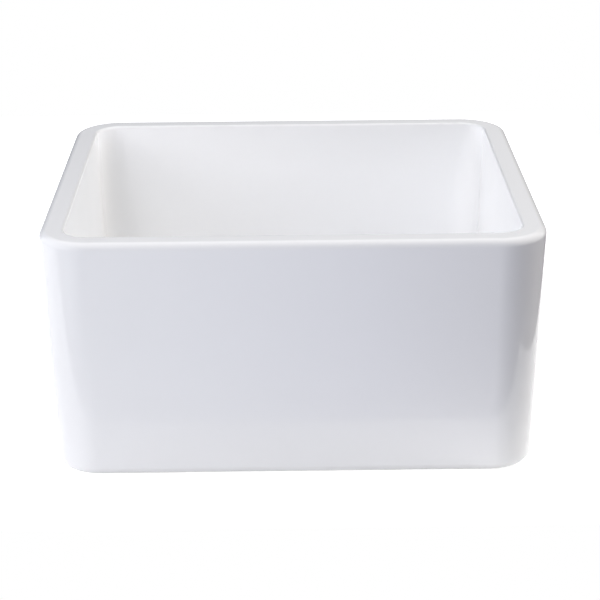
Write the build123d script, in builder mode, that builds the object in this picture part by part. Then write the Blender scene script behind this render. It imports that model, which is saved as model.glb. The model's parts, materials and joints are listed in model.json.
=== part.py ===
"""Farmhouse apron front sink: a one-piece fireclay bowl with its basket strainer waste.

The origin is the centre of the foot's resting face, straight below the drain's axis.
+X runs along the apron to the right, +Y runs from the apron to the back, +Z is up.
All sizes are in millimetres, and every radius is a radius, not a diameter.
"""
from build123d import *
import os
from math import radians, sqrt, tan

# --- Bowl: outer form ----------------------------------------------------------------------
bowl_width = 508.0              # along the apron
bowl_depth = 457.0              # apron to back
bowl_height = 254.0
wall_draft = 1.8                # degrees by which the outer walls lean in towards the foot
corner_radius = 52.0            # upright outer corners, in plan at the rim
rim_width = 25.0                # flat rim, all round
rim_outer_round = 8.0
rim_inner_round = 3.0
base_round = 10.0               # between the outer walls and the foot

# --- Bowl: inside --------------------------------------------------------------------------
floor_height = 28.0             # floor level along the walls
floor_fall = 4.0                # from there down to the drain
wall_lean = 10.0                # each inner wall stands in by this much at the floor
floor_corner_radius = 48.0      # upright inner corners, in plan at the floor
floor_cove = 36.0               # cove between walls and floor

# --- Bowl: drain and foot ------------------------------------------------------------------
drain_hole_gap = 1.9            # hole outside the strainer body
drain_hole_round = 1.0
ledge_width = 14.0              # recess round the hole that takes the strainer's flange
ledge_depth = 5.0
ledge_lip = 4.0                 # round over which the floor drops into the recess
eye_land = 2.0                  # level ring of floor outside the lip
foot_width = 34.0               # ring on which the sink stands
foot_recess = 5.0               # underside inside that ring, above the resting face
foot_round = 3.0
recess_corner_radius = 22.0

# --- Strainer body -------------------------------------------------------------------------
seal_thickness = 1.5
seal_inset = 1.2                # seal inside the flange's edge
seal_margin = 1.0               # seal's bore outside the drain hole
flange_gap = 1.3                # flange inside the ledge
flange_edge_round = 0.8
body_wall = 2.0
press_round = 1.0               # tight side of each bend in the pressed wall
cup_bore = 40.6
cup_straight = 35.0             # flange top down to the cone
cone_depth = 12.6               # 45 degree cone, whose lower edge is the stopper's seat
pocket_depth = 6.5              # seat down to the shelf that carries the post socket
shelf_width = 6.4               # from the pocket's wall in to the neck
neck_length = 26.0

# --- Pieces that clamp the strainer in the clay --------------------------------------------
gasket_lap = 11.5               # width of the gasket's bearing on the clay round the hole
gasket_thickness = 3.0
friction_thickness = 1.5
ring_step = 1.0                 # each of gasket, card ring and locknut collar inside the one above
ring_gap = 0.4                  # gasket and card ring outside the strainer body
thread_gap = 0.3                # nuts outside the threads, which are left plain
locknut_wall = 8.1
locknut_height = 10.0
locknut_collar_height = 2.5
lug_count = 6
lug_length = 6.0                # beyond the locknut's round body
lug_width = 9.0
lug_round = 1.5

# --- Outlet coupling -----------------------------------------------------------------------
coupling_lip = 3.0
coupling_lip_width = 2.0        # lip's bore inside the neck's, round a 38.1 mm drain pipe
coupling_height = 16.0
coupling_skirt_wall = 2.1
coupling_grip_wall = 3.1        # thinnest, at the middle of the hexagon's flats
coupling_grip_height = 10.0
coupling_round = 1.5
outlet_washer_thickness = 2.5
outlet_washer_lap = 1.4         # washer's bore inside the neck's
outlet_washer_gap = 0.6         # washer inside the coupling nut

# --- Post socket ---------------------------------------------------------------------------
socket_gap = 0.2                # ring inside the pocket's rounded corner
socket_ring_width = 4.2
socket_thickness = 2.0
socket_arm_count = 4
socket_arm_width = 4.0
hub_wall = 2.1
hub_bore = 4.4
hub_length = 13.5
hub_lead_in = 0.8

# --- Basket --------------------------------------------------------------------------------
basket_wall = 0.8
basket_drop = 6.0               # basket's rim below the flange top
basket_rim_gap = 0.8            # rolled rim inside the cup
basket_rim_roll = 3.0           # rolled rim outside the basket's wall
basket_rim_turn = 2.4           # height of the turned-down edge
basket_taper = 6.1              # bottom of the basket inside the strainer's cup
basket_corner = 4.0
basket_roll_round = 0.4         # tight side of the rolled rim
basket_rows = 3                 # of round holes in the basket's wall
basket_columns = 18
basket_hole_radius = 2.0
basket_first_row = 8.0          # above the basket's bottom
basket_row_pitch = 7.5

# --- Stopper under the basket --------------------------------------------------------------
stopper_lap = 3.6               # stopper outside the lower edge of its seat
stopper_thickness = 4.0
stopper_bevel = 2.5
stopper_gap = 0.3               # off its seat, square to the cone
backing_radius = 14.0
backing_thickness = 1.5
seal_nut_flats = 10.0
seal_nut_height = 3.5

# --- Post, clip and knob -------------------------------------------------------------------
post_radius = 3.0
post_fit = 0.05                 # bores of the pieces that sit on the post
post_collar_radius = 6.0
post_collar_height = 2.0
post_tip_length = 4.0           # below the groove
post_tip_chamfer = 1.0
groove_radius = 2.4
clip_depth = 4.0                # clip's top below the hub's top
clip_height = 2.4
clip_slot = 2.4                 # gap in the clip's ring
clip_gap = 0.2                  # clip inside the hub
clip_play = 0.3                 # clip in its groove, each way
knob_height = 14.0
knob_rise = 2.0                 # above the basket's rim
knob_stem_radius = 5.5
knob_head_radius = 10.0
knob_head_height = 5.0
knob_socket_depth = 9.0

# --- Widths and levels that follow from the sizes above ------------------------------------
mouth_width = bowl_width - 2 * rim_width
mouth_depth = bowl_depth - 2 * rim_width
floor_width = mouth_width - 2 * wall_lean
floor_depth = mouth_depth - 2 * wall_lean
foot_inset = bowl_height * tan(radians(wall_draft)) + base_round + foot_width
drain_rim_z = floor_height - floor_fall
drain_seat_z = drain_rim_z - ledge_depth

body_radius = cup_bore + body_wall
drain_hole_radius = body_radius + drain_hole_gap
ledge_radius = drain_hole_radius + ledge_width
flange_radius = ledge_radius - flange_gap
seat_radius = cup_bore - cone_depth
neck_bore = seat_radius - shelf_width
neck_radius = neck_bore + body_wall
flange_top_z = drain_seat_z + seal_thickness + body_wall
cone_top_z = flange_top_z - cup_straight
seat_z = cone_top_z - cone_depth
shelf_z = seat_z - pocket_depth
neck_end_z = shelf_z - neck_length

gasket_radius = drain_hole_radius + gasket_lap
gasket_z = foot_recess - gasket_thickness
friction_radius = gasket_radius - ring_step
friction_z = gasket_z - friction_thickness
locknut_bore = body_radius + thread_gap
locknut_radius = locknut_bore + locknut_wall
locknut_collar_radius = friction_radius - ring_step
locknut_z = friction_z - locknut_height
lug_tip_radius = locknut_radius + lug_length

coupling_bore = neck_radius + thread_gap
tailpiece_bore = neck_bore - coupling_lip_width
outlet_washer_z = neck_end_z - outlet_washer_thickness
coupling_z = outlet_washer_z - coupling_lip

stopper_radius = seat_radius + stopper_lap
stopper_tip_radius = stopper_radius - stopper_bevel
stopper_z = seat_z + (stopper_tip_radius - seat_radius) + stopper_gap * sqrt(2)
basket_z = stopper_z + stopper_thickness
basket_floor_z = basket_z + basket_wall
basket_bottom_radius = cup_bore - basket_taper
basket_rim_z = flange_top_z - basket_drop
basket_rim_radius = cup_bore - basket_rim_gap
backing_z = stopper_z - backing_thickness
seal_nut_z = backing_z - seal_nut_height

socket_radius = seat_radius - press_round - socket_gap
hub_top_z = shelf_z + socket_thickness
clip_z = hub_top_z - clip_depth - clip_height
groove_z = clip_z - clip_play
groove_height = clip_height + 2 * clip_play
post_z = groove_z - post_tip_length
knob_top_z = basket_rim_z + knob_rise
knob_z = knob_top_z - knob_height
post_top_z = knob_z + knob_socket_depth

os.makedirs("parts", exist_ok=True)


def rings_of(part, radius):
    """Return the part's round edges of this radius, the lowest first."""
    rounding_error = 0.01
    circles = part.edges().filter_by(GeomType.CIRCLE)
    return circles.filter_by(lambda edge: abs(edge.radius - radius) < rounding_error).sort_by(Axis.Z)


# --- Bowl ----------------------------------------------------------------------------------
# The space inside: leaning walls, a cove all round, and a floor that falls evenly from a
# rounded rectangle along the walls to the round eye of the drain.
with BuildPart() as bowl_space:
    with BuildSketch(Plane.XY.offset(bowl_height)):
        RectangleRounded(mouth_width, mouth_depth, corner_radius - rim_width)
    with BuildSketch(Plane.XY.offset(floor_height)):
        RectangleRounded(floor_width, floor_depth, floor_corner_radius)
    loft()
    fillet(bowl_space.edges().group_by(Axis.Z)[0], floor_cove)
    with BuildSketch(Plane.XY.offset(floor_height)):
        RectangleRounded(
            floor_width - 2 * floor_cove,
            floor_depth - 2 * floor_cove,
            floor_corner_radius - floor_cove,
        )
    with BuildSketch(Plane.XY.offset(drain_rim_z)):
        Circle(ledge_radius + ledge_lip + eye_land)
    loft()

with BuildPart() as sink_bowl:
    with BuildSketch(Plane.XY.offset(bowl_height)):
        RectangleRounded(bowl_width, bowl_depth, corner_radius)
    extrude(amount=-bowl_height, taper=wall_draft)
    fillet(sink_bowl.edges().group_by(Axis.Z)[0], base_round)
    add(bowl_space.part, mode=Mode.SUBTRACT)
    rim = sink_bowl.faces().sort_by(Axis.Z)[-1]
    fillet(rim.outer_wire().edges(), rim_outer_round)
    rim = sink_bowl.faces().sort_by(Axis.Z)[-1]
    fillet(rim.inner_wires()[0].edges(), rim_inner_round)
    with BuildSketch(Plane.XY):
        RectangleRounded(bowl_width - 2 * foot_inset, bowl_depth - 2 * foot_inset, recess_corner_radius)
    extrude(amount=foot_recess, mode=Mode.SUBTRACT)
    foot = sink_bowl.faces().sort_by(Axis.Z)[0]
    fillet(foot.inner_wires()[0].edges(), foot_round)
    with Locations((0, 0, drain_rim_z)):
        CounterBoreHole(drain_hole_radius, ledge_radius, ledge_depth)
    fillet(rings_of(sink_bowl, ledge_radius)[-1], ledge_lip)
    fillet(rings_of(sink_bowl, drain_hole_radius), drain_hole_round)
sink_bowl.part.label = "sink_bowl"
export_step(sink_bowl.part, "parts/sink_bowl.step")


# --- Strainer body -------------------------------------------------------------------------
# One pressed wall, turned about the drain's axis: flange, cup, cone for the stopper, pocket
# and shelf for the post socket, and the neck.
with BuildPart() as strainer_body:
    with BuildSketch(Plane.XZ):
        with BuildLine():
            wide_bend = body_wall + press_round
            FilletPolyline(
                (flange_radius, flange_top_z),
                (cup_bore, flange_top_z),
                (cup_bore, cone_top_z),
                (seat_radius, seat_z),
                (seat_radius, shelf_z),
                (neck_bore, shelf_z),
                (neck_bore, neck_end_z),
                radius=[wide_bend, press_round, wide_bend, press_round, wide_bend],
            )
            offset(amount=body_wall, side=Side.LEFT)
        make_face()
    revolve()
    fillet(rings_of(strainer_body, flange_radius), flange_edge_round)
strainer_body.part.label = "strainer_body"
export_step(strainer_body.part, "parts/strainer_body.step")

with BuildPart() as flange_seal:
    with BuildSketch(Plane.XY.offset(drain_seat_z)):
        Circle(flange_radius - seal_inset)
        Circle(drain_hole_radius + seal_margin, mode=Mode.SUBTRACT)
    extrude(amount=seal_thickness)
flange_seal.part.label = "flange_seal"
export_step(flange_seal.part, "parts/flange_seal.step")


# --- Pieces that clamp the strainer in the clay --------------------------------------------
with BuildPart() as under_gasket:
    with BuildSketch(Plane.XY.offset(gasket_z)):
        Circle(gasket_radius)
        Circle(body_radius + ring_gap, mode=Mode.SUBTRACT)
    extrude(amount=gasket_thickness)
under_gasket.part.label = "under_gasket"
export_step(under_gasket.part, "parts/under_gasket.step")

with BuildPart() as friction_ring:
    with BuildSketch(Plane.XY.offset(friction_z)):
        Circle(friction_radius)
        Circle(body_radius + ring_gap, mode=Mode.SUBTRACT)
    extrude(amount=friction_thickness)
friction_ring.part.label = "friction_ring"
export_step(friction_ring.part, "parts/friction_ring.step")

with BuildPart() as locknut:
    with BuildSketch(Plane.XY.offset(locknut_z)):
        Circle(locknut_radius)
        with PolarLocations(lug_tip_radius / 2, lug_count):
            Rectangle(lug_tip_radius, lug_width)
    extrude(amount=locknut_height)
    lug_corners = locknut.edges().filter_by(Axis.Z).group_by(SortBy.DISTANCE)[-1]
    fillet(lug_corners, lug_round)
    with BuildSketch(Plane.XY.offset(friction_z)):
        Circle(locknut_collar_radius)
    extrude(amount=-locknut_collar_height)
    with Locations((0, 0, friction_z)):
        Hole(locknut_bore)
locknut.part.label = "locknut"
export_step(locknut.part, "parts/locknut.step")


# --- Outlet coupling -----------------------------------------------------------------------
with BuildPart() as outlet_washer:
    with BuildSketch(Plane.XY.offset(outlet_washer_z)):
        Circle(coupling_bore - outlet_washer_gap)
        Circle(neck_bore - outlet_washer_lap, mode=Mode.SUBTRACT)
    extrude(amount=outlet_washer_thickness)
outlet_washer.part.label = "outlet_washer"
export_step(outlet_washer.part, "parts/outlet_washer.step")

with BuildPart() as coupling_nut:
    with BuildSketch(Plane.XY.offset(coupling_z)):
        RegularPolygon(coupling_bore + coupling_grip_wall, 6, major_radius=False)
    extrude(amount=coupling_grip_height)
    fillet(coupling_nut.edges().filter_by(Axis.Z), coupling_round)
    with BuildSketch(Plane.XY.offset(coupling_z)):
        Circle(coupling_bore + coupling_skirt_wall)
    extrude(amount=coupling_height)
    with BuildSketch(Plane.XY.offset(outlet_washer_z)):
        Circle(coupling_bore)
    extrude(amount=coupling_height, mode=Mode.SUBTRACT)
    with Locations((0, 0, coupling_z)):
        Hole(tailpiece_bore)
coupling_nut.part.label = "coupling_nut"
export_step(coupling_nut.part, "parts/coupling_nut.step")


# --- Post socket ---------------------------------------------------------------------------
# A ring on the shelf, arms across the waterway, and a hub that guides and grips the post.
with BuildPart() as post_socket:
    with BuildSketch(Plane.XY.offset(shelf_z)):
        Circle(socket_radius)
        Circle(socket_radius - socket_ring_width, mode=Mode.SUBTRACT)
        arm_length = socket_radius - socket_ring_width / 2
        with PolarLocations(arm_length / 2, socket_arm_count):
            Rectangle(arm_length, socket_arm_width)
    extrude(amount=socket_thickness)
    with BuildSketch(Plane.XY.offset(hub_top_z)):
        Circle(hub_bore + hub_wall)
    extrude(amount=-hub_length)
    with Locations((0, 0, hub_top_z)):
        Hole(hub_bore)
    chamfer(rings_of(post_socket, hub_bore)[-1], hub_lead_in)
post_socket.part.label = "post_socket"
export_step(post_socket.part, "parts/post_socket.step")


# --- Basket --------------------------------------------------------------------------------
# A thin pressed cup with a rolled rim, and rows of round holes, every other row set over by
# half a step.
with BuildPart() as basket_cup:
    with BuildSketch(Plane.XZ):
        with BuildLine():
            rolled_bend = basket_wall + basket_roll_round
            FilletPolyline(
                (post_radius + post_fit, basket_floor_z),
                (basket_bottom_radius, basket_floor_z),
                (basket_rim_radius - basket_rim_roll, basket_rim_z),
                (basket_rim_radius, basket_rim_z),
                (basket_rim_radius, basket_rim_z - basket_rim_turn),
                radius=[basket_corner, rolled_bend, rolled_bend],
            )
            offset(amount=basket_wall, side=Side.RIGHT)
        make_face()
    revolve()
    for row in range(basket_rows):
        for column in range(basket_columns):
            turn = (column + row / 2) * 360 / basket_columns
            level = basket_z + basket_first_row + row * basket_row_pitch
            with BuildSketch(Plane((0, 0, level), z_dir=Vector(1, 0, 0).rotate(Axis.Z, turn))):
                Circle(basket_hole_radius)
    extrude(amount=basket_rim_radius, mode=Mode.SUBTRACT)
basket_cup.part.label = "basket_cup"
export_step(basket_cup.part, "parts/basket_cup.step")

with BuildPart() as stopper_seal:
    with BuildSketch(Plane.XZ):
        with BuildLine():
            Polyline(
                (post_radius + post_fit, stopper_z),
                (stopper_tip_radius, stopper_z),
                (stopper_radius, stopper_z + stopper_bevel),
                (stopper_radius, basket_z),
                (post_radius + post_fit, basket_z),
                close=True,
            )
        make_face()
    revolve()
stopper_seal.part.label = "stopper_seal"
export_step(stopper_seal.part, "parts/stopper_seal.step")

with BuildPart() as seal_backing_washer:
    with BuildSketch(Plane.XY.offset(backing_z)):
        Circle(backing_radius)
        Circle(post_radius + post_fit, mode=Mode.SUBTRACT)
    extrude(amount=backing_thickness)
seal_backing_washer.part.label = "seal_backing_washer"
export_step(seal_backing_washer.part, "parts/seal_backing_washer.step")

with BuildPart() as seal_nut:
    with BuildSketch(Plane.XY.offset(seal_nut_z)):
        RegularPolygon(seal_nut_flats / 2, 6, major_radius=False)
        Circle(post_radius + post_fit, mode=Mode.SUBTRACT)
    extrude(amount=seal_nut_height)
seal_nut.part.label = "seal_nut"
export_step(seal_nut.part, "parts/seal_nut.step")


# --- Post, clip and knob -------------------------------------------------------------------
with BuildPart() as basket_post:
    with BuildSketch(Plane.XY.offset(post_z)):
        Circle(post_radius)
    extrude(amount=post_top_z - post_z)
    chamfer(rings_of(basket_post, post_radius)[0], post_tip_chamfer)
    with BuildSketch(Plane.XY.offset(basket_floor_z)):
        Circle(post_collar_radius)
    extrude(amount=post_collar_height)
    with BuildSketch(Plane.XY.offset(groove_z)):
        Circle(post_radius)
        Circle(groove_radius, mode=Mode.SUBTRACT)
    extrude(amount=groove_height, mode=Mode.SUBTRACT)
basket_post.part.label = "basket_post"
export_step(basket_post.part, "parts/basket_post.step")

with BuildPart() as snap_clip:
    with BuildSketch(Plane.XY.offset(clip_z)):
        Circle(hub_bore - clip_gap)
        Circle(groove_radius + clip_play, mode=Mode.SUBTRACT)
        with Locations((hub_bore / 2, 0)):
            Rectangle(hub_bore, clip_slot, mode=Mode.SUBTRACT)
    extrude(amount=clip_height)
snap_clip.part.label = "snap_clip"
export_step(snap_clip.part, "parts/snap_clip.step")

with BuildPart() as basket_knob:
    with BuildSketch(Plane.XZ):
        with BuildLine():
            head_z = knob_top_z - knob_head_height
            Line((0, knob_z), (knob_stem_radius, knob_z))
            neck = Spline(
                (knob_stem_radius, knob_z),
                (knob_head_radius, head_z),
                tangents=[(0, 1), (0, 1)],
            )
            dome = Spline(neck @ 1, (0, knob_top_z), tangents=[(0, 1), (-1, 0)])
            Line(dome @ 1, (0, knob_z))
        make_face()
    revolve()
    with BuildSketch(Plane.XY.offset(knob_z)):
        Circle(post_radius + post_fit)
    extrude(amount=knob_socket_depth, mode=Mode.SUBTRACT)
basket_knob.part.label = "basket_knob"
export_step(basket_knob.part, "parts/basket_knob.step")
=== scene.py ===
"""Looks of a farmhouse apron front sink in white fireclay, with its basket strainer waste.

Metres throughout. The origin is the middle of the foot on the table, +X runs along the apron
to the right, +Y from the apron to the back, and +Z up.
"""
import json
from math import cos, pi, radians, sin, tan
import bpy
from mathutils import Matrix, Vector

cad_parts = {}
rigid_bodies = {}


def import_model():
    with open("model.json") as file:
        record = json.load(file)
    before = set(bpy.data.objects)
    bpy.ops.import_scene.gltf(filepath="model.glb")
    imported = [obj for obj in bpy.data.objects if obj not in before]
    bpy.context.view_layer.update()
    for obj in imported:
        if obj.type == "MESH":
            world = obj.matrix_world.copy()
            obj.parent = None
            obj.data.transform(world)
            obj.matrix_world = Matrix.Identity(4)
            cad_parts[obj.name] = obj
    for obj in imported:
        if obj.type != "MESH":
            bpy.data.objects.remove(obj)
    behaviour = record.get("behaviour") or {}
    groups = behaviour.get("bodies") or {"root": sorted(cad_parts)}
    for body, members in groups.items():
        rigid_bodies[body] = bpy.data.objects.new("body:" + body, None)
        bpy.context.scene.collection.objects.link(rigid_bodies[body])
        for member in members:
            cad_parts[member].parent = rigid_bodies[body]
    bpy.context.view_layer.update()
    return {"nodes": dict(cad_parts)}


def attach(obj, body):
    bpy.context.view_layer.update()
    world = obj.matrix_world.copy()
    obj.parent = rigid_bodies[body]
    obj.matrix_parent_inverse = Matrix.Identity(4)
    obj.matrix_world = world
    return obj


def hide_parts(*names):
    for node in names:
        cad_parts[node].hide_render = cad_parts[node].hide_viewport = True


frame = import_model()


# ---- Sink bowl ------------------------------------------------------------------------------
# One piece of fireclay, cast in a mould: every edge is round and every wall leans a little.
# White glaze covers all of it but the foot, which is wiped clean before the sink is fired.
bowl_width, bowl_depth, bowl_height = 0.508, 0.457, 0.254
wall_draft = radians(1.8)
corner_radius = 0.052
base_inset = bowl_height * tan(wall_draft)
rim_width, rim_outer_round, rim_inner_round = 0.025, 0.008, 0.003
wall_lean, floor_corner_radius, floor_level, floor_cove = 0.010, 0.048, 0.028, 0.036
cove_tangent = floor_cove * tan((pi / 2 - wall_lean / (bowl_height - floor_level)) / 2)
eye_radius, eye_level = 0.0645, 0.024
ledge_radius, ledge_level, ledge_lip = 0.0585, 0.019, 0.004
drain_hole_radius, hole_round, recess_level = 0.0445, 0.001, 0.005
foot_width, foot_corner_radius, foot_round, base_round = 0.034, 0.022, 0.003, 0.010
foot_inset = base_inset + base_round + foot_width
corner_steps, rounding_steps, side_cuts, wall_cuts, long_edge = 16, 10, 11, 9, 0.1
ring_points = 4 * (corner_steps + 1 + side_cuts)

bpy.ops.object.select_all(action="DESELECT")
bpy.ops.mesh.primitive_plane_add(size=1)
fireclay_bowl = bpy.context.object
fireclay_bowl.name = "fireclay_bowl"
bpy.ops.object.mode_set(mode="EDIT")
bpy.ops.mesh.delete(type="VERT")


def select_edges(piece, wanted):
    """Select the edges of a piece in edit mode whose two ends pass the test, and no others."""
    bpy.ops.mesh.select_all(action="DESELECT")
    bpy.ops.mesh.select_mode(type="EDGE")
    bpy.ops.object.mode_set(mode="OBJECT")
    points = piece.data.vertices
    for edge in piece.data.edges:
        edge.select = wanted(*[points[end].co for end in edge.vertices])
    bpy.ops.object.mode_set(mode="EDIT")


def finish_ring(piece, name, rounding):
    """Name the ring that is selected, and say how far its edge is to be rounded."""
    bpy.ops.object.vertex_group_assign_new()
    piece.vertex_groups.active.name = name
    bpy.ops.transform.edge_bevelweight(value=rounding / cove_tangent)


def rounded_ring(name, width, depth, corner, level, rounding=0):
    """A rounded rectangle of edges, with its long sides cut into short steps."""
    bpy.ops.mesh.select_all(action="DESELECT")
    bpy.ops.mesh.select_mode(type="VERT")
    bpy.ops.mesh.primitive_plane_add(size=1, location=(0, 0, level))
    bpy.ops.transform.resize(value=(width, depth, 1), center_override=(0, 0, level))
    bpy.ops.mesh.bevel(offset=corner, segments=corner_steps, affect="VERTICES")
    bpy.ops.mesh.delete(type="ONLY_FACE")
    select_edges(fireclay_bowl, lambda start, end: (start - end).length > long_edge)
    bpy.ops.mesh.subdivide(number_cuts=side_cuts)
    bpy.ops.mesh.select_linked()
    finish_ring(fireclay_bowl, name, rounding)


def round_ring(name, radius, level, rounding=0):
    """A circle of edges with as many points as the rounded rectangles have."""
    bpy.ops.mesh.select_all(action="DESELECT")
    bpy.ops.mesh.primitive_circle_add(vertices=ring_points, radius=radius, location=(0, 0, level))
    finish_ring(fireclay_bowl, name, rounding)


rounded_ring("foot_outer", bowl_width - 2 * base_inset, bowl_depth - 2 * base_inset,
             corner_radius - base_inset, 0, base_round)
rounded_ring("rim_outer", bowl_width, bowl_depth, corner_radius, bowl_height, rim_outer_round)
rounded_ring("rim_inner", bowl_width - 2 * rim_width, bowl_depth - 2 * rim_width,
             corner_radius - rim_width, bowl_height, rim_inner_round)
floor_inset = rim_width + wall_lean
rounded_ring("wall_foot", bowl_width - 2 * floor_inset, bowl_depth - 2 * floor_inset,
             floor_corner_radius, floor_level, cove_tangent)
floor_inset += floor_cove
rounded_ring("floor_edge", bowl_width - 2 * floor_inset, bowl_depth - 2 * floor_inset,
             floor_corner_radius - floor_cove, floor_level)
round_ring("eye", eye_radius, eye_level)
round_ring("ledge_rim", ledge_radius, eye_level, ledge_lip)
round_ring("ledge_foot", ledge_radius, ledge_level)
round_ring("hole_top", drain_hole_radius, ledge_level, hole_round)
round_ring("hole_bottom", drain_hole_radius, recess_level, hole_round)
rounded_ring("recess_top", bowl_width - 2 * foot_inset, bowl_depth - 2 * foot_inset,
             foot_corner_radius, recess_level)
rounded_ring("foot_inner", bowl_width - 2 * foot_inset, bowl_depth - 2 * foot_inset,
             foot_corner_radius, 0, foot_round)

# The rings that share a level are bridged first, since a bridge between two such rings comes
# out twisted once either of them carries other faces.
rings = [group.name for group in fireclay_bowl.vertex_groups]
neighbours = list(zip(rings, rings[1:] + rings[:1]))
for ring, next_ring in neighbours[1::2] + neighbours[0::2]:
    bpy.ops.mesh.select_all(action="DESELECT")
    bpy.ops.mesh.select_mode(type="VERT")
    for name in (ring, next_ring):
        fireclay_bowl.vertex_groups.active_index = fireclay_bowl.vertex_groups[name].index
        bpy.ops.object.vertex_group_select()
    bpy.ops.mesh.select_mode(type="EDGE")
    bpy.ops.mesh.bridge_edge_loops()
bpy.ops.mesh.select_all(action="SELECT")
bpy.ops.mesh.normals_make_consistent(inside=False)
bpy.ops.object.mode_set(mode="OBJECT")
fireclay_bowl.vertex_groups.clear()

# The cove is the largest rounding. Each other ring has its own as a share of it, in its weight.
rounding = fireclay_bowl.modifiers.new("rounding", "BEVEL")
rounding.limit_method, rounding.width = "WEIGHT", cove_tangent
rounding.segments = rounding_steps
rounding.use_clamp_overlap = False
bpy.ops.object.modifier_apply(modifier=rounding.name)
bpy.ops.object.mode_set(mode="EDIT")
select_edges(fireclay_bowl, lambda start, end: (start - end).length > long_edge)
bpy.ops.mesh.subdivide(number_cuts=wall_cuts)
bpy.ops.object.mode_set(mode="OBJECT")
bpy.ops.object.shade_smooth()
fireclay_bowl.modifiers.new("even shading", "WEIGHTED_NORMAL").weight = 90
bpy.ops.object.modifier_apply(modifier="even shading")

fireclay_glaze = bpy.data.materials.new("fireclay_glaze")
fireclay_glaze.use_nodes = True
nodes, links = fireclay_glaze.node_tree.nodes, fireclay_glaze.node_tree.links
glaze = nodes["Principled BSDF"]
glaze.inputs["IOR"].default_value = 1.5
place = nodes.new("ShaderNodeTexCoord")
pooling = nodes.new("ShaderNodeTexNoise")
pooling.inputs["Scale"].default_value = 7
pooling.inputs["Detail"].default_value = 1.5
links.new(place.outputs["Object"], pooling.inputs["Vector"])
peel = nodes.new("ShaderNodeTexNoise")
peel.inputs["Scale"].default_value = 260
peel.inputs["Detail"].default_value = 1
links.new(place.outputs["Object"], peel.inputs["Vector"])
pooled = nodes.new("ShaderNodeBump")
pooled.inputs["Distance"].default_value = 0.0012
pooled.inputs["Strength"].default_value = 0.25
links.new(pooling.outputs["Fac"], pooled.inputs["Height"])
peeled = nodes.new("ShaderNodeBump")
peeled.inputs["Distance"].default_value = 0.00002
peeled.inputs["Strength"].default_value = 0.5
links.new(peel.outputs["Fac"], peeled.inputs["Height"])
links.new(pooled.outputs["Normal"], peeled.inputs["Normal"])
links.new(peeled.outputs["Normal"], glaze.inputs["Normal"])
height = nodes.new("ShaderNodeSeparateXYZ")
links.new(place.outputs["Object"], height.inputs["Vector"])
glazed = nodes.new("ShaderNodeMapRange")
glazed.inputs["From Min"].default_value = 0.0004
glazed.inputs["From Max"].default_value = 0.0014
links.new(height.outputs["Z"], glazed.inputs["Value"])
body_colour = nodes.new("ShaderNodeMix")
body_colour.data_type = "RGBA"
body_colour.inputs["A"].default_value = (0.62, 0.53, 0.43, 1)
body_colour.inputs["B"].default_value = (0.94, 0.94, 0.94, 1)
links.new(glazed.outputs["Result"], body_colour.inputs["Factor"])
links.new(body_colour.outputs["Result"], glaze.inputs["Base Color"])
body_gloss = nodes.new("ShaderNodeMapRange")
body_gloss.inputs["To Min"].default_value = 0.8
body_gloss.inputs["To Max"].default_value = 0.07
links.new(glazed.outputs["Result"], body_gloss.inputs["Value"])
links.new(body_gloss.outputs["Result"], glaze.inputs["Roughness"])
fireclay_bowl.data.materials.clear()
fireclay_bowl.data.materials.append(fireclay_glaze)
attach(fireclay_bowl, "sink")
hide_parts("sink_bowl")


# ---- Pressed steel: strainer body, basket and knob ------------------------------------------
# Stainless steel sheet, pressed and then turned and polished on a lathe, so fine rings run
# round each piece. The knob is turned from bar and polished in the same way.
turned = bpy.data.node_groups.new("turned_rings", "ShaderNodeTree")
turned.interface.new_socket("Rings", in_out="INPUT", socket_type="NodeSocketFloat")
turned.interface.new_socket("Depth", in_out="INPUT", socket_type="NodeSocketFloat")
turned.interface.new_socket("Tone", in_out="OUTPUT", socket_type="NodeSocketFloat")
turned.interface.new_socket("Normal", in_out="OUTPUT", socket_type="NodeSocketVector")
nodes, links = turned.nodes, turned.links
given, result = nodes.new("NodeGroupInput"), nodes.new("NodeGroupOutput")
place = nodes.new("ShaderNodeTexCoord")
split = nodes.new("ShaderNodeSeparateXYZ")
links.new(place.outputs["Object"], split.inputs["Vector"])
flat = nodes.new("ShaderNodeCombineXYZ")
links.new(split.outputs["X"], flat.inputs["X"])
links.new(split.outputs["Y"], flat.inputs["Y"])
reach = nodes.new("ShaderNodeVectorMath")
reach.operation = "LENGTH"
links.new(flat.outputs["Vector"], reach.inputs[0])
profile = nodes.new("ShaderNodeCombineXYZ")
links.new(reach.outputs["Value"], profile.inputs["X"])
links.new(split.outputs["Z"], profile.inputs["Y"])
grooves = nodes.new("ShaderNodeTexNoise")
grooves.inputs["Detail"].default_value = 3
links.new(profile.outputs["Vector"], grooves.inputs["Vector"])
links.new(given.outputs["Rings"], grooves.inputs["Scale"])
relief = nodes.new("ShaderNodeBump")
relief.inputs["Strength"].default_value = 1
links.new(given.outputs["Depth"], relief.inputs["Distance"])
links.new(grooves.outputs["Fac"], relief.inputs["Height"])
links.new(grooves.outputs["Fac"], result.inputs["Tone"])
links.new(relief.outputs["Normal"], result.inputs["Normal"])


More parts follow.
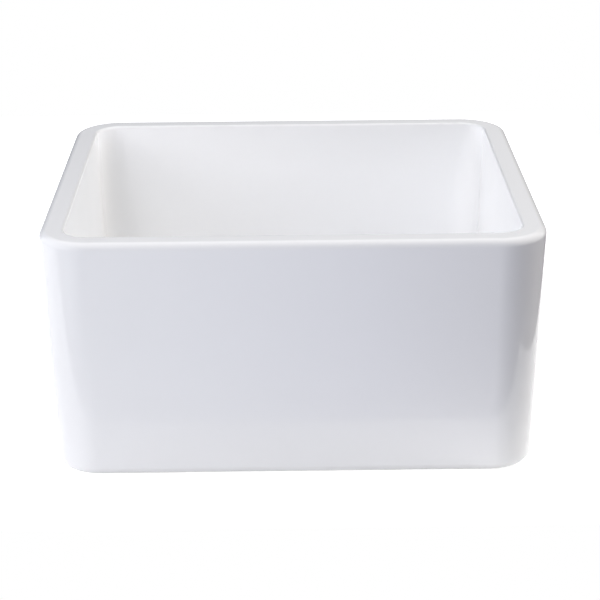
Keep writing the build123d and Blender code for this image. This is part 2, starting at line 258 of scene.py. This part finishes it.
def turned_metal(name, dark, light, rings, depth, low_gloss, high_gloss):
    """A metal with lathe rings, whose colour and roughness vary a little from ring to ring."""
    metal = bpy.data.materials.new(name)
    metal.use_nodes = True
    nodes, links = metal.node_tree.nodes, metal.node_tree.links
    shader = nodes["Principled BSDF"]
    shader.inputs["Metallic"].default_value = 1
    marks = nodes.new("ShaderNodeGroup")
    marks.node_tree = turned
    marks.inputs["Rings"].default_value = rings
    marks.inputs["Depth"].default_value = depth
    colour = nodes.new("ShaderNodeMix")
    colour.data_type = "RGBA"
    colour.inputs["A"].default_value = (*dark, 1)
    colour.inputs["B"].default_value = (*light, 1)
    links.new(marks.outputs["Tone"], colour.inputs["Factor"])
    links.new(colour.outputs["Result"], shader.inputs["Base Color"])
    gloss = nodes.new("ShaderNodeMapRange")
    gloss.inputs["From Min"].default_value = 0.3
    gloss.inputs["From Max"].default_value = 0.7
    gloss.inputs["To Min"].default_value = low_gloss
    gloss.inputs["To Max"].default_value = high_gloss
    links.new(marks.outputs["Tone"], gloss.inputs["Value"])
    links.new(gloss.outputs["Result"], shader.inputs["Roughness"])
    links.new(marks.outputs["Normal"], shader.inputs["Normal"])
    return metal


def finish_node(name, material):
    """Give a CAD node its material."""
    node = frame["nodes"][name]
    node.data.materials.clear()
    node.data.materials.append(material)


polished_sheet = turned_metal("polished_sheet", dark=(0.66, 0.665, 0.67), light=(0.76, 0.76, 0.755),
                              rings=1400, depth=0.000012, low_gloss=0.1, high_gloss=0.2)
for name in ("strainer_body", "basket_cup", "basket_knob"):
    finish_node(name, polished_sheet)


# ---- Turned and stamped steel: post, post socket, washer, nut and clip ----------------------
# Plain stainless parts that are out of sight in use. They keep their tool marks, and their
# edges are only broken, not rounded.
def broken_edges(name, edge, material, body):
    """Stand in for a CAD node with a copy whose sharp edges are broken."""
    weld_gap, flat_angle, sharp_angle = 0.000002, radians(0.5), radians(35)
    bpy.ops.object.select_all(action="DESELECT")
    node = frame["nodes"][name]
    piece = bpy.data.objects.new(name + "_eased", node.data.copy())
    bpy.context.scene.collection.objects.link(piece)
    bpy.context.view_layer.objects.active = piece
    piece.select_set(True)
    bpy.ops.object.mode_set(mode="EDIT")
    bpy.ops.mesh.select_all(action="SELECT")
    bpy.ops.mesh.remove_doubles(threshold=weld_gap)
    bpy.ops.mesh.dissolve_limited(angle_limit=flat_angle)
    bpy.ops.object.mode_set(mode="OBJECT")
    bpy.ops.object.shade_smooth_by_angle(angle=sharp_angle)
    easing = piece.modifiers.new("easing", "BEVEL")
    easing.width, easing.segments, easing.angle_limit = edge, 2, sharp_angle
    easing.limit_method, easing.harden_normals = "ANGLE", True
    bpy.ops.object.modifier_apply(modifier=easing.name)
    piece.data.materials.clear()
    piece.data.materials.append(material)
    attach(piece, body)
    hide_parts(name)


turned_bar = turned_metal("turned_bar", dark=(0.5, 0.5, 0.505), light=(0.63, 0.63, 0.625),
                          rings=900, depth=0.00003, low_gloss=0.24, high_gloss=0.36)
clip_wire = turned_metal("clip_wire", dark=(0.36, 0.36, 0.37), light=(0.48, 0.48, 0.48),
                         rings=1100, depth=0.00002, low_gloss=0.26, high_gloss=0.36)
broken_edges("post_socket", 0.0003, turned_bar, "sink")
broken_edges("seal_backing_washer", 0.0002, turned_bar, "basket")
broken_edges("seal_nut", 0.0003, turned_bar, "basket")
broken_edges("basket_post", 0.00015, turned_bar, "basket")
broken_edges("snap_clip", 0.00015, clip_wire, "clip")


# ---- Brass: locknut and coupling nut --------------------------------------------------------
# Cast brass, turned where it bears and left with its casting skin on the lugs. It has dulled
# and darkened unevenly.
grain = bpy.data.node_groups.new("fine_grain", "ShaderNodeTree")
grain.interface.new_socket("Scale", in_out="INPUT", socket_type="NodeSocketFloat")
grain.interface.new_socket("Depth", in_out="INPUT", socket_type="NodeSocketFloat")
grain.interface.new_socket("Tone", in_out="OUTPUT", socket_type="NodeSocketFloat")
grain.interface.new_socket("Normal", in_out="OUTPUT", socket_type="NodeSocketVector")
nodes, links = grain.nodes, grain.links
given, result = nodes.new("NodeGroupInput"), nodes.new("NodeGroupOutput")
place = nodes.new("ShaderNodeTexCoord")
speckle = nodes.new("ShaderNodeTexNoise")
speckle.inputs["Detail"].default_value = 4
links.new(place.outputs["Object"], speckle.inputs["Vector"])
links.new(given.outputs["Scale"], speckle.inputs["Scale"])
relief = nodes.new("ShaderNodeBump")
relief.inputs["Strength"].default_value = 1
links.new(given.outputs["Depth"], relief.inputs["Distance"])
links.new(speckle.outputs["Fac"], relief.inputs["Height"])
links.new(speckle.outputs["Fac"], result.inputs["Tone"])
links.new(relief.outputs["Normal"], result.inputs["Normal"])


def grained(name, dark, light, scale, depth, low_gloss, high_gloss, metallic=0):
    """A material with an even fine grain, whose colour and roughness follow the grain."""
    stuff = bpy.data.materials.new(name)
    stuff.use_nodes = True
    nodes, links = stuff.node_tree.nodes, stuff.node_tree.links
    shader = nodes["Principled BSDF"]
    shader.inputs["Metallic"].default_value = metallic
    speckles = nodes.new("ShaderNodeGroup")
    speckles.node_tree = grain
    speckles.inputs["Scale"].default_value = scale
    speckles.inputs["Depth"].default_value = depth
    spread = nodes.new("ShaderNodeMapRange")
    spread.inputs["From Min"].default_value = 0.35
    spread.inputs["From Max"].default_value = 0.65
    links.new(speckles.outputs["Tone"], spread.inputs["Value"])
    colour = nodes.new("ShaderNodeMix")
    colour.data_type = "RGBA"
    colour.inputs["A"].default_value = (*dark, 1)
    colour.inputs["B"].default_value = (*light, 1)
    links.new(spread.outputs["Result"], colour.inputs["Factor"])
    links.new(colour.outputs["Result"], shader.inputs["Base Color"])
    gloss = nodes.new("ShaderNodeMapRange")
    gloss.inputs["To Min"].default_value = low_gloss
    gloss.inputs["To Max"].default_value = high_gloss
    links.new(spread.outputs["Result"], gloss.inputs["Value"])
    links.new(gloss.outputs["Result"], shader.inputs["Roughness"])
    links.new(speckles.outputs["Normal"], shader.inputs["Normal"])
    return stuff


cast_brass = grained("cast_brass", dark=(0.6, 0.43, 0.2), light=(0.74, 0.57, 0.3),
                     scale=420, depth=0.00006, low_gloss=0.38, high_gloss=0.28, metallic=1)
broken_edges("locknut", 0.0006, cast_brass, "sink")
broken_edges("coupling_nut", 0.0005, cast_brass, "sink")


# ---- Soft rings: gasket, washer, stopper, seal and card ring --------------------------------
# Moulded black rubber under the clay, at the outlet and under the basket, a soft seal under
# the flange, and a ring of pressed card on which the locknut turns.
moulded_rubber = grained("moulded_rubber", dark=(0.022, 0.022, 0.023), light=(0.035, 0.035, 0.036),
                         scale=900, depth=0.00002, low_gloss=0.55, high_gloss=0.7)
cell_foam = grained("cell_foam", dark=(0.55, 0.53, 0.48), light=(0.66, 0.64, 0.59),
                    scale=1600, depth=0.00008, low_gloss=0.85, high_gloss=0.95)
pressed_card = grained("pressed_card", dark=(0.33, 0.29, 0.24), light=(0.44, 0.4, 0.34),
                       scale=700, depth=0.00008, low_gloss=0.85, high_gloss=0.95)
broken_edges("under_gasket", 0.0005, moulded_rubber, "sink")
broken_edges("outlet_washer", 0.0003, moulded_rubber, "sink")
broken_edges("stopper_seal", 0.0004, moulded_rubber, "basket")
broken_edges("flange_seal", 0.0003, cell_foam, "sink")
broken_edges("friction_ring", 0.0001, pressed_card, "sink")


# ---- Stage: white table in a dark room ------------------------------------------------------
# The sink stands near the front right corner of a white table. The glaze mirrors the table, the
# dark walls of the room and its floor. The walls are near-black cards, painted shade for the glaze
# to mirror. The floor is a card that glows, with painted light on the left and painted shade on
# the right. The glaze mirrors it, and its glow also lights the sink. The camera itself doesn't
# show the walls and the floor.
table_left, table_right, table_front, table_back = -1.3, 0.52, -0.335, 1.2
under_foot, waste_opening, edge_cuts = 0.0001, 0.075, 23
bpy.ops.object.select_all(action="DESELECT")
bpy.ops.mesh.primitive_plane_add(size=1)
table = bpy.context.object
table.name = "table"
bpy.ops.object.mode_set(mode="EDIT")
bpy.ops.transform.resize(value=(table_right - table_left, table_back - table_front, 1),
                         center_override=(0, 0, 0))
bpy.ops.transform.translate(value=((table_right + table_left) / 2, (table_back + table_front) / 2,
                                   -under_foot))
bpy.ops.mesh.delete(type="ONLY_FACE")
bpy.ops.mesh.subdivide(number_cuts=edge_cuts)
bpy.ops.mesh.primitive_circle_add(vertices=4 * (edge_cuts + 1), radius=waste_opening,
                                  location=(0, 0, -under_foot))
bpy.ops.mesh.select_all(action="SELECT")
bpy.ops.mesh.bridge_edge_loops()
bpy.ops.mesh.normals_make_consistent(inside=False)
bpy.ops.object.mode_set(mode="OBJECT")


def seen_directly(nodes, links):
    """1 for camera, glossy and transmission rays, and 0 for the light that falls on the sink."""
    ray = nodes.new("ShaderNodeLightPath")
    mirrored = nodes.new("ShaderNodeMath")
    mirrored.operation = "MAXIMUM"
    links.new(ray.outputs["Is Glossy Ray"], mirrored.inputs[0])
    links.new(ray.outputs["Is Transmission Ray"], mirrored.inputs[1])
    seen = nodes.new("ShaderNodeMath")
    seen.operation = "MAXIMUM"
    links.new(ray.outputs["Is Camera Ray"], seen.inputs[0])
    links.new(mirrored.outputs[0], seen.inputs[1])
    return seen.outputs[0]


table_top = bpy.data.materials.new("table_top")
table_top.use_nodes = True
nodes, links = table_top.node_tree.nodes, table_top.node_tree.links
nodes.remove(nodes["Principled BSDF"])
paper = nodes.new("ShaderNodeBsdfDiffuse")
paper.inputs["Color"].default_value = (0.87, 0.87, 0.87, 1)
shown_paper = nodes.new("ShaderNodeBsdfDiffuse")
shown_paper.inputs["Color"].default_value = (0.6, 0.6, 0.6, 1)
glow = nodes.new("ShaderNodeEmission")
glow.inputs["Strength"].default_value = 0.84
shown = nodes.new("ShaderNodeAddShader")
links.new(shown_paper.outputs[0], shown.inputs[0])
links.new(glow.outputs[0], shown.inputs[1])
either = nodes.new("ShaderNodeMixShader")
links.new(seen_directly(nodes, links), either.inputs[0])
links.new(paper.outputs[0], either.inputs[1])
links.new(shown.outputs[0], either.inputs[2])
links.new(either.outputs[0], nodes["Material Output"].inputs["Surface"])
table.data.materials.append(table_top)

# Painted light and shade: the floor card glows instead of being lit by a lamp, bright on the left
# and dim on the right.
painted_light_floor = bpy.data.materials.new("painted_light_floor")
painted_light_floor.use_nodes = True
nodes, links = painted_light_floor.node_tree.nodes, painted_light_floor.node_tree.links
nodes.remove(nodes["Principled BSDF"])
place = nodes.new("ShaderNodeTexCoord")
split = nodes.new("ShaderNodeSeparateXYZ")
links.new(place.outputs["Object"], split.inputs["Vector"])
from_left = nodes.new("ShaderNodeMapRange")
from_left.inputs["From Min"].default_value = -0.5
from_left.inputs["From Max"].default_value = 0.5
links.new(split.outputs["X"], from_left.inputs["Value"])
painted_light_ramp = nodes.new("ShaderNodeValToRGB")
painted_light_ramp.color_ramp.elements[0].position = 0.1
painted_light_ramp.color_ramp.elements[0].color = (0.1, 0.12, 0.14, 1)
painted_light_ramp.color_ramp.elements[1].position = 0.8
painted_light_ramp.color_ramp.elements[1].color = (0.03, 0.02, 0.05, 1)
painted_light_ramp.color_ramp.elements.new(0.2).color = (0.95, 0.97, 1, 1)
painted_light_ramp.color_ramp.elements.new(0.6).color = (0.6, 0.64, 0.85, 1)
links.new(from_left.outputs["Result"], painted_light_ramp.inputs["Fac"])
painted_floor_glow = nodes.new("ShaderNodeEmission")
links.new(painted_light_ramp.outputs["Color"], painted_floor_glow.inputs["Color"])
links.new(painted_floor_glow.outputs[0], nodes["Material Output"].inputs["Surface"])

# Painted shade: near-black cards, hidden from the camera, that the glaze mirrors as the dark room.
wall_shade = bpy.data.materials.new("wall_shade")
wall_shade.use_nodes = True
dark_wall = wall_shade.node_tree.nodes["Principled BSDF"]
dark_wall.inputs["Base Color"].default_value = (0.05, 0.05, 0.055, 1)
dark_wall.inputs["Roughness"].default_value = 1


def unseen_card(name, size, place, upright, material):
    """A flat rectangle that the glaze mirrors but the camera doesn't show."""
    bpy.ops.object.select_all(action="DESELECT")
    bpy.ops.mesh.primitive_plane_add(size=1)
    card = bpy.context.object
    card.name = name
    bpy.ops.object.mode_set(mode="EDIT")
    bpy.ops.transform.resize(value=(*size, 1), center_override=(0, 0, 0))
    if upright:
        bpy.ops.transform.rotate(value=pi / 2, orient_axis="X", center_override=(0, 0, 0))
    bpy.ops.transform.translate(value=place)
    bpy.ops.object.mode_set(mode="OBJECT")
    card.visible_camera = False
    card.data.materials.append(material)


# The floor card glows with painted light and painted shade.
unseen_card("room_floor", size=(7, 7), place=(0, 0, -0.08), upright=False, material=painted_light_floor)
# Dark cards of painted shade that only the glaze mirrors.
unseen_card("front_wall", size=(6, 4), place=(0, -2.9, 1.9), upright=True, material=wall_shade)
unseen_card("back_wall", size=(4, 1.5), place=(0, 1.6, 0.85), upright=True, material=wall_shade)

room = bpy.data.worlds.new("room")
bpy.context.scene.world = room
room.use_nodes = True
nodes, links = room.node_tree.nodes, room.node_tree.links
air = nodes["Background"]
air.name = "air"
air.inputs["Color"].default_value = (1, 1, 1, 1)
air.inputs["Strength"].default_value = 0.02
white = nodes.new("ShaderNodeBackground")
white.name = "white"
white.inputs["Color"].default_value = (1, 1, 1, 1)
either = nodes.new("ShaderNodeMixShader")
links.new(seen_directly(nodes, links), either.inputs[0])
links.new(air.outputs[0], either.inputs[1])
links.new(white.outputs[0], either.inputs[2])
links.new(either.outputs[0], nodes["World Output"].inputs["Surface"])


# ---- Lights ---------------------------------------------------------------------------------
# Large softboxes round the table: three in front and on the left, one on the right and two
# behind. A bearing is counted from the front towards the right, and a climb from the table
# upwards, in degrees.
softbox_size, softbox_distance = 1, 2.5


def softbox(name, bearing, climb, watts, colour):
    """A large soft light aimed at the sink, which isn't mirrored in it."""
    lamp = bpy.data.lights.new(name, "AREA")
    lamp.shape, lamp.size = "SQUARE", softbox_size
    lamp.energy, lamp.color = watts, colour
    holder = bpy.data.objects.new(name, lamp)
    turn, rise = radians(bearing), radians(climb)
    outward = Vector((sin(turn) * cos(rise), -cos(turn) * cos(rise), sin(rise)))
    holder.location = Vector((0, 0, bowl_height / 2)) + outward * softbox_distance
    holder.rotation_euler = (-outward).to_track_quat("-Z", "Y").to_euler()
    holder.visible_glossy = False
    bpy.context.scene.collection.objects.link(holder)


softbox("left_softbox", -60, 23, watts=20.5, colour=(0.95, 0.95, 1))
softbox("front_left_softbox", -30, 32, watts=12.2, colour=(0.93, 0.925, 1))
softbox("front_softbox", -8, 34, watts=15.4, colour=(0.95, 0.965, 1))
softbox("right_softbox", 99, 40, watts=34, colour=(1, 0.96, 0.91))
softbox("back_right_softbox", 120, 30, watts=22, colour=(0.88, 0.92, 1))
softbox("back_left_softbox", -120, 30, watts=22, colour=(0.88, 0.92, 1))


# ---- Camera ---------------------------------------------------------------------------------
# A long lens two metres off, which looks down on the sink from a little left of the middle.
view_turn, view_height, view_roll = radians(-0.49), radians(20.91), radians(-0.46)
view_distance, view_right, view_up = 1.9996, 0.00817, -0.01852
to_camera = Vector((sin(view_turn) * cos(view_height),
                    -cos(view_turn) * cos(view_height),
                    sin(view_height)))
level_right = (-to_camera).cross(Vector((0, 0, 1))).normalized()
level_up = level_right.cross(-to_camera)
right = level_right * cos(view_roll) + level_up * sin(view_roll)
up = level_up * cos(view_roll) - level_right * sin(view_roll)
viewpoint = Vector((0, 0, bowl_height / 2)) + to_camera * view_distance
viewpoint += right * view_right + up * view_up
camera = bpy.data.objects.new("camera", bpy.data.cameras.new("camera"))
camera.data.lens, camera.data.sensor_width = 107.45, 36
turned_to_view = Matrix((right, up, to_camera)).transposed().to_4x4()
camera.matrix_world = Matrix.Translation(viewpoint) @ turned_to_view
bpy.context.scene.collection.objects.link(camera)
bpy.context.scene.camera = camera
bpy.context.scene.view_settings.view_transform = "Standard"
